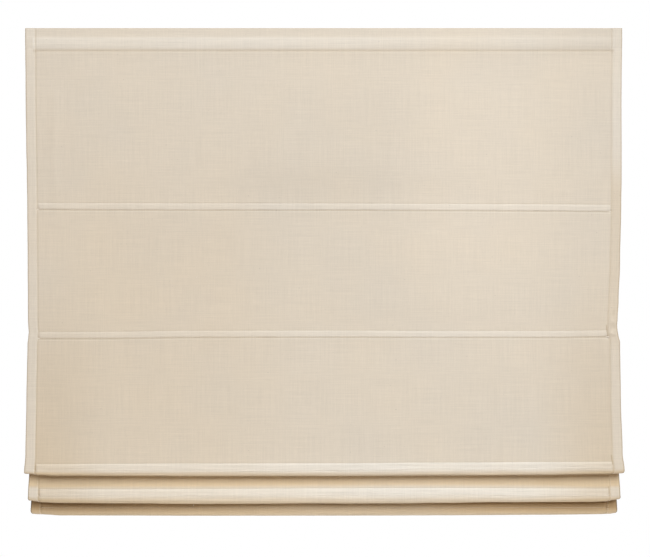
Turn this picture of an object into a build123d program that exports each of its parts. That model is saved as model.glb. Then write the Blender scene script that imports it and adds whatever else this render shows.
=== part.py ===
"""Roman blind, part lowered: two flat panels hang above three folds stacked one behind another.

Millimetres. +X is the viewer's right, +Y points back into the window recess, +Z is up.
The origin is the centre of the four bracket screws, on the recess's ceiling.
"""
from build123d import *
import math
import os

# Cloth, as cut and sewn
cloth_width = 1000.0
cloth_t = 0.8
side_hem = 17.0
top_hem = 37.0
cloth_top_gap = 0.5
top_drop = 305.0
panel_drop = 218.0
face_length = 109.0
fold_count = 5
flat_folds = 2

# Where the stacked folds hang in the photograph's position
fold_pitch = 16.0
fold_4_drop = 47.0
fold_5_drop = 27.0
bar_below_row = 29.0
rim_length = 4.0
rim_lean = 1.5
rim_round = 0.3
crest_length = 2.5
crest_lean = 1.2
crest_round = 0.2
climb_slant = 0.35
rim_end = 0.36
rim_steps = 20
climb_end = 0.84
climb_steps = 6
crest_steps = 12
slope_step = 0.002

# Rod pockets and their ribs
pocket_height = 13.0
pocket_bulge = 0.9
pocket_lip = 1.0
pocket_strip_t = 0.6
rib_height = 9.0
rib_t = 2.0
rib_end_gap = 5.5
rib_corner = 0.9
rib_clearance = 0.3

# Bottom hem with its bar
hem_height = 26.0
hem_bulge = 1.5
hem_shoulder = 2.4
hem_corner = 1.0
bar_height = 20.0
bar_t = 3.0
bar_end_gap = 9.0
bar_cap_wall = 0.8
bar_cap_reach = 12.0
bar_cap_end = 1.5
bar_clearance = 0.4
anchor_width = 10.0
anchor_depth = 4.5
anchor_height = 11.0
anchor_top = 4.0
anchor_hole_r = 1.0
anchor_hole_depth = 6.0

# Rings and lift cords
cord_inset = 287.0
cord_r = 0.5
cord_bend = 6.0
ring_outer_r = 5.5
ring_inner_r = 3.7
ring_height = 1.8
ring_edge = 0.4
ring_below_row = 4.0
seat_gap = 0.05
winding_length = 12.0

# Headrail
rail_end_gap = 8.0
rail_depth = 34.0
rail_height = 32.0
rail_wall = 1.4
rail_front_wall = 2.0
rail_top_wall = 1.6
rail_lip = 2.5
rail_drop = 6.0
flange_y = 11.5
flange_web_t = 1.4
flange_reach = 3.0
flange_t = 1.2
flange_top = 2.0
strip_height = 20.0
strip_centre_drop = 22.0
hook_strip_t = 1.5
hook_groove = 0.7
loop_strip_t = 1.2
loop_strip_end_gap = 20.0
end_cap_t = 3.0
end_cap_plug = 9.0
end_cap_wall = 1.6
end_cap_corner = 2.0
plug_clearance = 0.2

# Swivel brackets
bracket_inset = 142.0
bracket_width = 44.0
bracket_t = 1.6
bracket_back_y = 24.5
bracket_corner = 3.0
screw_spacing = 14.0
screw_hole_r = 2.25
claw_t = 1.4
claw_tab_t = 1.2
claw_width = 30.0
claw_gap = 0.4
lever_y = 19.5
lever_t = 1.8
lever_gap = 0.1
lever_disc_r = 3.8
lever_nose_r = 6.5
lever_nose_width = 8.0
lever_handle = 19.0
lever_handle_width = 6.5
lever_corner = 2.2
lever_grip_height = 4.0
lever_grip_t = 1.5
rivet_r = 1.5
rivet_running = 0.05
rivet_head_r = 2.7
rivet_head_t = 0.7

# Lift shaft, spools and their cradles
shaft_y = -4.5
shaft_z = -24.0
shaft_side = 5.0
shaft_overhang = 24.0
bore_clearance = 0.08
spool_r = 6.5
spool_flange_r = 8.5
spool_flange_t = 1.5
spool_length = 26.0
spool_taper = 0.8
hub_r = 4.4
hub_running = 0.05
cradle_wall = 3.0
cradle_base_t = 1.5
cradle_clearance = 0.5
cradle_top_r = 8.0
cord_slot_width = 4.0
cradle_rim = 1.0

# Spring motor
motor_length = 60.0
motor_wall = 1.2
motor_cover_t = 2.0
motor_corner = 2.0
drum_flange_r = 6.8
drum_core_r = 4.6
drum_flange_t = 1.2
drum_end_gap = 0.5
storage_y = 7.2
storage_z = -16.5
journal_r = 2.0
journal_length = 1.0
band_gap = 0.05
band_t = 0.4
storage_coil_t = 1.6
output_coil_t = 0.8

# Places worked out from the sizes above
rail_length = cloth_width - 2 * rail_end_gap
bracket_spacing = rail_length - 2 * bracket_inset
cord_x = cloth_width / 2 - cord_inset
shaft_length = 2 * (cord_x + shaft_overhang)
strip_stand = hook_strip_t - hook_groove
cloth_y = -rail_depth / 2 - strip_stand - loop_strip_t - 2 * cloth_t
cloth_top_z = -cloth_top_gap
back_length = panel_drop - face_length
flat_half = cloth_width / 2 - side_hem
seam_z = [cloth_top_z - top_drop - n * panel_drop for n in range(flat_folds + 1)]
seam_z.append(seam_z[-1] - fold_4_drop)
seam_z.append(seam_z[-1] - fold_5_drop)
seam_y = [cloth_y + max(0, n - flat_folds) * fold_pitch for n in range(fold_count)]
row_z = [z + face_length for z in seam_z]
bar_y = seam_y[-1] + fold_pitch
hem_z = row_z[-1] - bar_below_row
rail_top_z = -rail_drop
rail_bottom_z = rail_top_z - rail_height
lip_z = rail_bottom_z + rail_wall
rail_inner_front = -rail_depth / 2 + rail_front_wall
rail_inner_back = rail_depth / 2 - rail_wall
rail_inner_top = rail_top_z - rail_top_wall
pocket_front = cloth_t - pocket_bulge
rib_room_t = rib_t + 2 * rib_clearance
rib_room_height = rib_height + 2 * rib_clearance
rib_floor = (pocket_height - rib_room_height) / 2
hem_room_t = bar_t + 2 * bar_cap_wall + bar_clearance
hem_back = cloth_t - hem_bulge + hem_room_t + cloth_t
hem_room_bottom = hem_height - hem_corner - seat_gap
bar_centre_y = bar_y + cloth_t - hem_bulge + hem_room_t / 2
bar_centre_z = hem_z - (hem_shoulder + hem_room_bottom) / 2


def in_yz(x, points):
    """Points (y, z) as vectors in the plane at this x."""
    return [Vector(x, y, z) for y, z in points]


def prism(points, x0, x1):
    """A straight-sided outline of (y, z) points, carried along X."""
    return extrude(Face(Wire.make_polygon(in_yz(x0, points))), x1 - x0, dir=(1, 0, 0))


def block(x0, x1, y0, y1, z0, z1):
    """A plain box between two corners."""
    centre = Location(((x0 + x1) / 2, (y0 + y1) / 2, (z0 + z1) / 2))
    return centre * Box(x1 - x0, y1 - y0, z1 - z0)


def rod_x(radius, x0, x1, y, z):
    """A round bar along X."""
    return Location(((x0 + x1) / 2, y, z)) * Rotation(0, 90, 0) * Cylinder(radius, x1 - x0)


def square_x(side, x0, x1, y, z):
    """A square bar along X."""
    return block(x0, x1, y - side / 2, y + side / 2, z - side / 2, z + side / 2)


def across_the_cloth(middle, edge):
    """The middle of a strip of cloth between two side hems, as one sewn piece."""
    half = cloth_width / 2
    return middle(-flat_half, flat_half) + edge(-half, -flat_half) + edge(flat_half, half)


def mirrored_pair(solid):
    """A piece and its twin at the other cord."""
    return Compound(children=[solid, mirror(solid, Plane.YZ)])


def ramp(t):
    """A climb from 0 to 1 that starts and ends level: speed grows, holds, then falls."""
    speed = 1 / (1 - rim_round / 2 - crest_round / 2)
    if t < rim_round:
        return speed * t * t / (2 * rim_round)
    if t > 1 - crest_round:
        return 1 - speed * (1 - t) ** 2 / (2 * crest_round)
    return speed * (t - rim_round / 2)


def turned_up(share, y0, z0, travel):
    """The point of a turned-up half panel at a share of its length below the seam.

    Its height is that of the cloth hanging straight, plus the lift times the ramp. Its depth is a
    parabola back from the seam, then an inverse smooth step of the ramp less a slant of the
    height, which gives a round rim and crest with a nearly upright run, then a parabola again.
    """
    start = rim_length / back_length
    end = 1 - crest_length / back_length
    climb = ramp(min(1, max(0, (share - start) / (end - start))))
    height = travel * climb - back_length * share
    if share < start:
        depth = rim_lean * (share / start) ** 2
    elif share > end:
        depth = fold_pitch - crest_lean * ((1 - share) / (1 - end)) ** 2
    else:
        low = rim_lean - climb_slant * rim_length
        high = fold_pitch - crest_lean + climb_slant * (travel - back_length + crest_length)
        eased = 0.5 - math.sin(math.asin(1 - 2 * climb) / 3)
        depth = low + (high - low) * eased - climb_slant * height
    return y0 + depth, z0 + height


def bend_places():
    """Shares along a turned-up half panel: close at the rim and the crest, wide on the climb."""
    zones = [(0.0, rim_end, rim_steps), (rim_end, climb_end, climb_steps), (climb_end, 1.0, crest_steps)]
    return [a + (b - a) * n / steps for a, b, steps in zones for n in range(steps)] + [1.0]


def turned_up_half(y0, z0, travel):
    """A half panel that turns up behind its fold: a rim, a climb and a crest, with side hems."""
    shares = bend_places()
    middle_line = [turned_up(s, y0 + cloth_t / 2, z0, travel) for s in shares]
    inward = []
    for s in shares:
        (y_a, z_a), (y_b, z_b) = (turned_up(s + d, 0, 0, travel) for d in (-slope_step, slope_step))
        length = math.hypot(y_b - y_a, z_b - z_a)
        inward.append(((z_a - z_b) / length, (y_b - y_a) / length))
    inward[0] = inward[-1] = (1, 0)

    def line(offset):
        """The middle line moved inwards, less any point that a tight bend turns back on."""
        moved = [(y + offset * n, z + offset * m) for (y, z), (n, m) in zip(middle_line, inward)]
        kept = moved[:1]
        for (y_a, z_a), (y_b, z_b), (y, z) in zip(middle_line, middle_line[1:], moved[1:]):
            if (y - kept[-1][0]) * (y_b - y_a) + (z - kept[-1][1]) * (z_b - z_a) > 0:
                kept.append((y, z))
        return kept

    def layer(thickness):
        outline = line(-cloth_t / 2) + line(thickness - cloth_t / 2)[::-1]
        return lambda x0, x1: prism(outline, x0, x1)

    return across_the_cloth(layer(cloth_t), layer(2 * cloth_t))


def flat_half_panel(y0, z0):
    """A half panel that hangs flat, with its side hems."""

    def layer(thickness):
        return lambda x0, x1: block(x0, x1, y0, y0 + thickness, z0 - back_length, z0)

    return across_the_cloth(layer(cloth_t), layer(2 * cloth_t))


def face_cloth(y0, top_z, z0, doubled=0.0):
    """The cloth of a fold's face, from top_z down to its seam at z0, pushed out by the pocket.

    doubled is how far a hem turned in at the top reaches down.
    """
    bulge_top = z0 + pocket_height
    front = [(y0, top_z), (y0, bulge_top), (y0 - pocket_bulge, bulge_top - pocket_lip)]
    front += [(y0 - pocket_bulge, z0 + pocket_lip), (y0, z0)]
    back = [(y + cloth_t, z) for y, z in front[::-1]]
    if doubled:
        back[-1:] = [(y0 + cloth_t, top_z - doubled), (y0 + 2 * cloth_t, top_z - doubled)]
        back += [(y0 + 2 * cloth_t, top_z)]

    def middle(x0, x1):
        return prism(front + back, x0, x1)

    def edge(x0, x1):
        return block(x0, x1, y0, y0 + 2 * cloth_t, z0, top_z)

    return across_the_cloth(middle, edge)


def pocket_strip(y0, z0):
    """The strip sewn behind a fold's lower edge: two flat lips and a raised back round the rib."""
    inner_y = y0 + pocket_front
    room_top = z0 + pocket_height - rib_floor
    room_bottom = z0 + rib_floor
    room_back = inner_y + rib_room_t
    outer = room_back + pocket_strip_t
    top = z0 + pocket_height
    points = [(y0 + cloth_t, top), (inner_y, top - pocket_lip), (inner_y, room_top)]
    points += [(room_back, room_top), (room_back, room_bottom), (inner_y, room_bottom)]
    points += [(inner_y, z0 + pocket_lip), (y0 + cloth_t, z0), (y0 + cloth_t + pocket_strip_t, z0)]
    points += [(outer, z0 + pocket_lip), (outer, top - pocket_lip)]
    points += [(y0 + cloth_t + pocket_strip_t, top)]
    half = flat_half - rib_clearance
    return prism(points, -half, half)


def rib(y0, z0):
    """The flat rib in a pocket, with rounded ends."""
    half = flat_half - rib_end_gap
    centre_y = y0 + pocket_front + rib_room_t / 2
    centre_z = z0 + pocket_height / 2
    body = block(-half, half, centre_y - rib_t / 2, centre_y + rib_t / 2,
                 centre_z - rib_height / 2, centre_z + rib_height / 2)
    ends = body.edges().filter_by(Axis.Y)
    return fillet(ends, rib_height / 2 - rib_corner)


def ring_pair(y0, z0):
    """Two moulded rings sewn to the cloth's back, for the lift cords."""
    centre = Location((cord_x, y0 + cloth_t + seat_gap + ring_outer_r, z0 - ring_below_row))
    body = Cylinder(ring_outer_r, ring_height)
    body = chamfer(body.edges(), ring_edge) - Cylinder(ring_inner_r, 2 * ring_height)
    return mirrored_pair(centre * body)


def ring_centre(y0, z0):
    """Where a lift cord runs through a ring, as (y, z)."""
    return y0 + cloth_t + seat_gap + ring_outer_r, z0 - ring_below_row


def bottom_hem():
    """The hem that wraps round the bottom bar, open at both ends, with flat side hems."""
    top, low = hem_z, hem_z - hem_height
    front, back = bar_y - hem_bulge, bar_y + hem_back
    outline = [(bar_y, top), (front, top - hem_shoulder), (front, low + hem_corner)]
    outline += [(front + hem_corner, low), (back - hem_corner, low), (back, low + hem_corner)]
    outline += [(back, top - hem_shoulder), (bar_y + cloth_t, top)]
    room_y = front + cloth_t

    def middle(x0, x1):
        room = block(x0, x1, room_y, room_y + hem_room_t, top - hem_room_bottom, top - hem_shoulder)
        return prism(outline, x0, x1) - room

    def edge(x0, x1):
        return block(x0, x1, bar_y, bar_y + 2 * cloth_t, low, top)

    return across_the_cloth(middle, edge)


def bottom_bar():
    """The flat weight bar."""
    half = flat_half - bar_end_gap
    return block(-half, half, bar_centre_y - bar_t / 2, bar_centre_y + bar_t / 2,
                 bar_centre_z - bar_height / 2, bar_centre_z + bar_height / 2)


def bar_caps():
    """Moulded caps pushed over both ends of the bar."""
    end = flat_half - bar_end_gap
    x0, x1 = end - bar_cap_reach, end + bar_cap_end
    depth, height = bar_t + 2 * bar_cap_wall, bar_height + 2 * bar_cap_wall
    cap = block(x0, x1, bar_centre_y - depth / 2, bar_centre_y + depth / 2,
                bar_centre_z - height / 2, bar_centre_z + height / 2)
    cap = fillet(cap.edges().filter_by(Axis.X), bar_cap_wall)
    cap -= block(x0, end, bar_centre_y - bar_t / 2, bar_centre_y + bar_t / 2,
                 bar_centre_z - bar_height / 2, bar_centre_z + bar_height / 2)
    return mirrored_pair(cap)


def cord_anchors():
    """Blocks riveted to the hem's back, where the lift cords end in a blind hole."""
    y0 = bar_y + hem_back
    top = hem_z - anchor_top
    body = block(cord_x - anchor_width / 2, cord_x + anchor_width / 2,
                 y0, y0 + anchor_depth, top - anchor_height, top)
    rear = body.faces().sort_by(Axis.Y)[-1]
    body = chamfer(rear.edges(), ring_edge)
    hole = Location((cord_x, y0 + anchor_depth / 2, top - anchor_hole_depth / 2))
    body -= hole * Cylinder(anchor_hole_r, anchor_hole_depth)
    return mirrored_pair(body)


def lift_cord(side):
    """A lift cord: its turns on the spool, then down through the rings to the anchor."""
    x = side * cord_x
    start = (shaft_y - spool_r - seat_gap - cord_r, shaft_z)
    rings = [ring_centre(seam_y[n + 1], row_z[n + 1]) for n in range(1, fold_count - 1)]
    end = (bar_y + hem_back + anchor_depth / 2, hem_z - anchor_top - anchor_hole_depth)
    above = (end[0], hem_z - anchor_top + anchor_hole_depth)
    route = FilletPolyline(*in_yz(x, [start, *rings, above, end]), radius=cord_bend)
    run = sweep(Plane(route @ 0, z_dir=route % 0) * Circle(cord_r), path=route)
    inner = spool_r + seat_gap
    turns = rod_x(inner + 2 * cord_r, x - winding_length / 2, x + winding_length / 2,
                  shaft_y, shaft_z)
    turns -= rod_x(inner, x - winding_length, x + winding_length, shaft_y, shaft_z)
    length = sum(edge.length for edge in route.edges())
    print("lift cord run", round(length, 1), "mm, radius", cord_bend, "mm at each ring")
    return turns + run


def headrail():
    """The extruded rail: a channel open below, hung by two flanges on its top."""
    front, back = -rail_depth / 2, rail_depth / 2
    outline = [(front, rail_top_z), (front, rail_bottom_z)]
    outline += [(rail_inner_front + rail_lip, rail_bottom_z), (rail_inner_front + rail_lip, lip_z)]
    outline += [(rail_inner_front, lip_z), (rail_inner_front, rail_inner_top)]
    outline += [(rail_inner_back, rail_inner_top), (rail_inner_back, lip_z)]
    outline += [(rail_inner_back - rail_lip, lip_z), (rail_inner_back - rail_lip, rail_bottom_z)]
    outline += [(back, rail_bottom_z), (back, rail_top_z)]
    web_in, web_out = flange_y - flange_web_t / 2, flange_y + flange_web_t / 2
    tip = web_out + flange_reach
    under = -flange_top - flange_t
    hook = [(web_in, rail_top_z), (web_in, -flange_top), (tip, -flange_top)]
    hook += [(tip, under), (web_out, under), (web_out, rail_top_z)]
    outline += hook[::-1] + [(-y, z) for y, z in hook]
    rail = prism(outline, -rail_length / 2, rail_length / 2)
    groove_top = -strip_centre_drop + strip_height / 2 + seat_gap
    groove = block(-rail_length / 2, rail_length / 2, front, front + hook_groove,
                   groove_top - strip_height - 2 * seat_gap, groove_top)
    return rail - groove


def hook_strip():
    """The hook strip pressed into the rail's groove."""
    front = -rail_depth / 2 - strip_stand
    low = -strip_centre_drop - strip_height / 2
    return block(-rail_length / 2, rail_length / 2, front, front + hook_strip_t, low, low + strip_height)


def loop_strip():
    """The loop strip sewn to the back of the cloth's top hem."""
    half = cloth_width / 2 - loop_strip_end_gap
    back = -rail_depth / 2 - strip_stand
    low = -strip_centre_drop - strip_height / 2
    return block(-half, half, back - loop_strip_t, back, low, low + strip_height)


def end_cap(side):
    """A moulded cap: a plate over the rail's end and a hollow plug inside it."""
    face = rail_length / 2
    plate = block(face, face + end_cap_t, -rail_depth / 2, rail_depth / 2, rail_bottom_z, rail_top_z)
    plate = fillet(plate.edges().filter_by(Axis.X), end_cap_corner)
    plate = chamfer(plate.faces().sort_by(Axis.X)[-1].edges(), ring_edge)
    y0, y1 = rail_inner_front + plug_clearance, rail_inner_back - plug_clearance
    z0, z1 = lip_z + plug_clearance, rail_inner_top - plug_clearance
    plug = block(face - end_cap_plug, face, y0, y1, z0, z1)
    plug -= block(face - end_cap_plug, face, y0 + end_cap_wall, y1 - end_cap_wall,
                  z0 + end_cap_wall, z1 - end_cap_wall)
    cap = plate + plug
    return cap if side > 0 else mirror(cap, Plane.YZ)


def bracket(side):
    """A pressed plate with two screw holes, a claw for the front flange and a rivet hole."""
    claw_y = -flange_y - flange_web_t / 2 - flange_reach - claw_gap
    front_y = claw_y - claw_t
    x = side * bracket_spacing / 2
    plate = block(x - bracket_width / 2, x + bracket_width / 2,
                  front_y, bracket_back_y, -bracket_t, 0)
    plate = fillet(plate.edges().filter_by(Axis.Z), bracket_corner)
    tab_top = -flange_top - flange_t
    tab_y = -flange_y - flange_web_t / 2 - claw_gap
    claw = [(front_y, -bracket_t), (front_y, tab_top - claw_tab_t), (tab_y, tab_top - claw_tab_t)]
    claw += [(tab_y, tab_top), (claw_y, tab_top), (claw_y, -bracket_t)]
    plate += prism(claw, x - claw_width / 2, x + claw_width / 2)
    for y in (-screw_spacing / 2, screw_spacing / 2):
        plate -= Location((x, y, -bracket_t / 2)) * Cylinder(screw_hole_r, 2 * bracket_t)
    rivet_hole = rivet_r + seat_gap / 2
    return plate - Location((x, lever_y, -bracket_t / 2)) * Cylinder(rivet_hole, 2 * bracket_t)


def lever_rivets():
    """The rivets that the levers turn on, flush above and headed below."""
    lever_low = -flange_top - flange_t - lever_gap - lever_t
    head_top = lever_low - lever_gap / 2
    bottom = head_top - rivet_head_t
    shank = Location((0, 0, head_top / 2)) * Cylinder(rivet_r, -head_top)
    head = Location((0, 0, (head_top + bottom) / 2)) * Cylinder(rivet_head_r, rivet_head_t)
    rivet = Location((bracket_spacing / 2, lever_y, 0)) * (shank + head)
    return mirrored_pair(rivet)


def latch_lever(side):
    """A swivel lever: its round nose holds the rail's rear flange, its handle lies along the rail."""
    top = -flange_top - flange_t - lever_gap
    mid = top - lever_t / 2
    at = Location((0, 0, mid))
    nose = Cylinder(lever_nose_r, lever_t) & block(-lever_nose_width / 2, lever_nose_width / 2,
                                                   -lever_nose_r, 0, -lever_t / 2, lever_t / 2)
    lever = at * (Cylinder(lever_disc_r, lever_t) + nose)
    handle = block(0, lever_handle, -lever_handle_width / 2, lever_handle_width / 2,
                   -lever_t / 2, lever_t / 2)
    far = handle.edges().filter_by(Axis.Z).sort_by(Axis.X)[-2:]
    lever += at * fillet(far, lever_corner)
    grip_x = lever_handle - lever_corner - lever_grip_t
    grip_top = top - lever_t
    lever += block(grip_x, grip_x + lever_grip_t, -lever_handle_width / 2 + lever_grip_t / 2,
                   lever_handle_width / 2 - lever_grip_t / 2, grip_top - lever_grip_height, grip_top)
    hub_top = -bracket_t - lever_gap
    hub = Location((0, 0, (hub_top + top) / 2)) * Cylinder(lever_disc_r - lever_gap, hub_top - top)
    lever += hub
    lever -= Location((0, 0, mid)) * Cylinder(rivet_r + rivet_running, 2 * lever_grip_height)
    return Location((side * bracket_spacing / 2, lever_y, 0)) * lever


def cord_spool(side):
    """A spool on the square shaft: hubs, two flanges and a slightly tapered drum with its turns."""
    half = spool_length / 2
    level = winding_length / 2 + seat_gap
    near = spool_flange_t
    profile = [(-half - cradle_wall, 0), (-half - cradle_wall, hub_r), (-half, hub_r)]
    profile += [(-half, spool_flange_r), (-half + near, spool_flange_r)]
    profile += [(-half + near, spool_r + spool_taper), (-level, spool_r), (level, spool_r)]
    profile += [(half - near, spool_r - spool_taper / 2), (half - near, spool_flange_r)]
    profile += [(half, spool_flange_r), (half, hub_r)]
    profile += [(half + cradle_wall, hub_r), (half + cradle_wall, 0)]
    face = Face(Wire.make_polygon([Vector(x, r, 0) for x, r in profile]))
    spool = revolve(face, Axis.X)
    reach = half + 2 * cradle_wall
    bore = shaft_side + 2 * bore_clearance
    spool = Location((side * cord_x, shaft_y, shaft_z)) * spool
    return spool - square_x(bore, side * cord_x - reach, side * cord_x + reach, shaft_y, shaft_z)


def spool_cradle(side):
    """A moulded cradle that sits on the rail's lips and carries the spool's two hubs."""
    x = side * cord_x
    half = spool_length / 2 + cradle_clearance
    base_z = lip_z + cradle_base_t
    y0, y1 = rail_inner_front + cradle_clearance, rail_inner_back - cradle_clearance
    cradle = block(x - half - cradle_wall, x + half + cradle_wall, y0, y1, lip_z, base_z)
    cradle -= block(x - winding_length, x + winding_length, y0 + cradle_rim,
                    y0 + cradle_rim + cord_slot_width, lip_z, base_z)
    for wall_x in (x - half - cradle_wall, x + half):
        wall = block(wall_x, wall_x + cradle_wall, y0, y0 + 2 * cradle_top_r, base_z, shaft_z)
        wall += rod_x(cradle_top_r, wall_x, wall_x + cradle_wall, y0 + cradle_top_r, shaft_z)
        brace = [(y0 + 2 * cradle_top_r, base_z), (y0 + 2 * cradle_top_r, shaft_z), (y1, base_z)]
        cradle += wall + prism(brace, wall_x, wall_x + cradle_wall)
    hole = hub_r + hub_running
    return cradle - rod_x(hole, x - half - 2 * cradle_wall, x + half + 2 * cradle_wall, shaft_y, shaft_z)


def drive_shaft():
    """The square shaft through the motor and both spools."""
    return square_x(shaft_side, -shaft_length / 2, shaft_length / 2, shaft_y, shaft_z)


motor_front = rail_inner_front + plug_clearance
motor_back = rail_inner_back - plug_clearance
motor_top = rail_inner_top - plug_clearance
motor_half = motor_length / 2
motor_room_half = motor_half - motor_wall


def motor_case():
    """The spring motor's case, open at its right end, with bearing holes at its left."""
    case = block(-motor_half, motor_half, motor_front, motor_back, lip_z, motor_top)
    case = fillet(case.edges().filter_by(Axis.X), motor_corner)
    case -= block(-motor_room_half, motor_half, motor_front + motor_wall, motor_back - motor_wall,
                  lip_z + motor_wall, motor_top - motor_wall)
    case -= rod_x(hub_r + hub_running, -motor_length, 0, shaft_y, shaft_z)
    return case - rod_x(journal_r + hub_running, -motor_length, 0, storage_y, storage_z)


def motor_cover():
    """The motor's end cover, with a spigot inside the case and two bearing holes."""
    cover = block(motor_half, motor_half + motor_cover_t, motor_front, motor_back, lip_z, motor_top)
    cover = fillet(cover.edges().filter_by(Axis.X), motor_corner)
    inset = motor_wall + seat_gap
    cover += block(motor_half - motor_wall, motor_half, motor_front + inset, motor_back - inset,
                   lip_z + inset, motor_top - inset)
    cover -= rod_x(hub_r + hub_running, 0, motor_length, shaft_y, shaft_z)
    return cover - rod_x(journal_r + hub_running, 0, motor_length, storage_y, storage_z)


def drum(y, z, end_r, end_length):
    """A flanged drum of the spring motor, with a journal at each end."""
    half = motor_room_half - drum_end_gap
    body = rod_x(drum_core_r, -half, half, y, z)
    for x in (-half, half - drum_flange_t):
        body += rod_x(drum_flange_r, x, x + drum_flange_t, y, z)
    return body + rod_x(end_r, -half - end_length, half + end_length, y, z)


def output_drum():
    """The drum that turns with the shaft."""
    body = drum(shaft_y, shaft_z, hub_r, drum_end_gap + journal_length)
    bore = shaft_side + 2 * bore_clearance
    return body - square_x(bore, -motor_length, motor_length, shaft_y, shaft_z)


def storage_drum():
    """The drum that the spring band winds back on to."""
    return drum(storage_y, storage_z, journal_r, drum_end_gap + journal_length)


def spring_band():
    """The steel band: a coil on each drum and the straight run that crosses between them."""
    half = motor_room_half - drum_end_gap - drum_flange_t - seat_gap
    inner = drum_core_r + band_gap
    store_r, out_r = inner + storage_coil_t, inner + output_coil_t
    coils = rod_x(store_r, -half, half, storage_y, storage_z)
    coils += rod_x(out_r, -half, half, shaft_y, shaft_z)
    dy, dz = storage_y - shaft_y, storage_z - shaft_z
    turn = math.atan2(dz, dy)
    tilt = math.acos((store_r + out_r - band_t) / math.hypot(dy, dz))
    across = turn + tilt
    on_out = Vector(0, shaft_y + (out_r - band_t / 2) * math.cos(across),
                    shaft_z + (out_r - band_t / 2) * math.sin(across))
    on_store = Vector(0, storage_y - (store_r - band_t / 2) * math.cos(across),
                      storage_z - (store_r - band_t / 2) * math.sin(across))
    run = on_store - on_out
    side = Vector(0, math.cos(across), math.sin(across)) * (band_t / 2)
    corners = [on_out + side, on_store + side, on_store - side, on_out - side]
    bridge = prism([(c.Y, c.Z) for c in corners], -half, half)
    print("spring band's free run", round(run.length, 1), "mm")
    bores = rod_x(inner, -half, half, storage_y, storage_z)
    bores += rod_x(inner, -half, half, shaft_y, shaft_z)
    return coils + bridge - bores


parts = {
    "headrail": headrail(),
    "hook_strip": hook_strip(),
    "loop_strip": loop_strip(),
    "lever_rivets": lever_rivets(),
    "drive_shaft": drive_shaft(),
    "motor_case": motor_case(),
    "motor_cover": motor_cover(),
    "output_drum": output_drum(),
    "storage_drum": storage_drum(),
    "spring_band": spring_band(),
    "top_cloth": face_cloth(cloth_y, cloth_top_z, seam_z[0], top_hem),
    "bottom_hem": bottom_hem(),
    "bottom_bar": bottom_bar(),
    "bar_caps": bar_caps(),
    "cord_anchors": cord_anchors(),
}
for name, side in (("left", -1), ("right", 1)):
    parts[f"end_cap_{name}"] = end_cap(side)
    parts[f"bracket_{name}"] = bracket(side)
    parts[f"latch_lever_{name}"] = latch_lever(side)
    parts[f"cord_spool_{name}"] = cord_spool(side)
    parts[f"spool_cradle_{name}"] = spool_cradle(side)
    parts[f"lift_cord_{name}"] = lift_cord(side)
for n in range(fold_count):
    parts[f"rod_pocket_{n + 1}"] = pocket_strip(seam_y[n], seam_z[n])
    parts[f"rib_{n + 1}"] = rib(seam_y[n], seam_z[n])
    next_row = row_z[n + 1] if n + 1 < fold_count else hem_z
    travel = next_row - seam_z[n] + back_length
    if travel > cloth_t:
        parts[f"fold_back_{n + 1}"] = turned_up_half(seam_y[n], seam_z[n], travel)
    else:
        parts[f"fold_back_{n + 1}"] = flat_half_panel(seam_y[n], seam_z[n])
    if n > 0:
        parts[f"fold_face_{n + 1}"] = face_cloth(seam_y[n], row_z[n], seam_z[n])
        parts[f"ring_pair_{n}"] = ring_pair(seam_y[n], row_z[n])
    print("fold", n + 1, "half panel raised by", round(travel, 1), "mm")

os.makedirs("parts", exist_ok=True)
for name, solid in parts.items():
    export_step(solid, f"parts/{name}.step")
print(len(parts), "nodes")
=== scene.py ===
"""Roman blind, part lowered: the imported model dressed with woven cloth, seams, cords and finishes.

Metres. +X is the viewer's right, +Y points back into the window recess, +Z is up.
Cloth is measured by u, from -0.5 to 0.5 across it, and v, the length of cloth above a point.
"""

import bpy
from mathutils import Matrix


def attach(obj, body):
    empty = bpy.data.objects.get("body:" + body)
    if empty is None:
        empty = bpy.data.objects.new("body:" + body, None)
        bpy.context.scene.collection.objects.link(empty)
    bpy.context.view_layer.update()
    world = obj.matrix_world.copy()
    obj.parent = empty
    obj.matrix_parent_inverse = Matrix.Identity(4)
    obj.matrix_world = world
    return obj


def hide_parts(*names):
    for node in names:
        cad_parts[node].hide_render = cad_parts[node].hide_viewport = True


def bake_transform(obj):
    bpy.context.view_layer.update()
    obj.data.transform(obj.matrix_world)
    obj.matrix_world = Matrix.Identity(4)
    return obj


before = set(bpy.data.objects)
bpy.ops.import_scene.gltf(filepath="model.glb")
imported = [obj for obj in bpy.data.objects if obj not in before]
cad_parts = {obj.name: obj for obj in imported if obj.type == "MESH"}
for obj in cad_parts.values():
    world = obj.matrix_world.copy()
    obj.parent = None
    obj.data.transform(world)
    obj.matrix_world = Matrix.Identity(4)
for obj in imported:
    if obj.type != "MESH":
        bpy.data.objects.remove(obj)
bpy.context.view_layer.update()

import math

import bpy
import numpy as np
from mathutils import Vector

# The cloth as cut and sewn
half_width = 0.5
single_layer = 0.00055
two_layers = 0.00115
first_seam = 0.305
half_panel = 0.109
seam_v = tuple(first_seam + 2 * half_panel * k for k in range(5))
hem_v = seam_v[4] + half_panel
hem_cloth = 0.0594

# Side hems and top hem: where each is sewn, and where the seam behind ends
side_hem = 0.483
side_stitches = 0.4846
top_hem = 0.037
top_stitches = 0.0374
top_gap = 0.0005

# Rod pockets: their tube's end, its bulge and the dent of its lower seam, from the top one down
pocket_height = 0.013
pocket_lines = (0.0007, 0.0123)
tube_end = (0.4785, 0.4822)
pocket_bulge = (0.00055, 0.0006, 0.0011, 0.0011, 0.0005)
pocket_seam = (0.0004, 0.0004, 0.00002, 0.00002, 0.00002)

# Stitches of the sewing thread
stitch_pitch = 0.0033
stitch_length = 0.0027
stitch_radius = 0.0002

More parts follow.
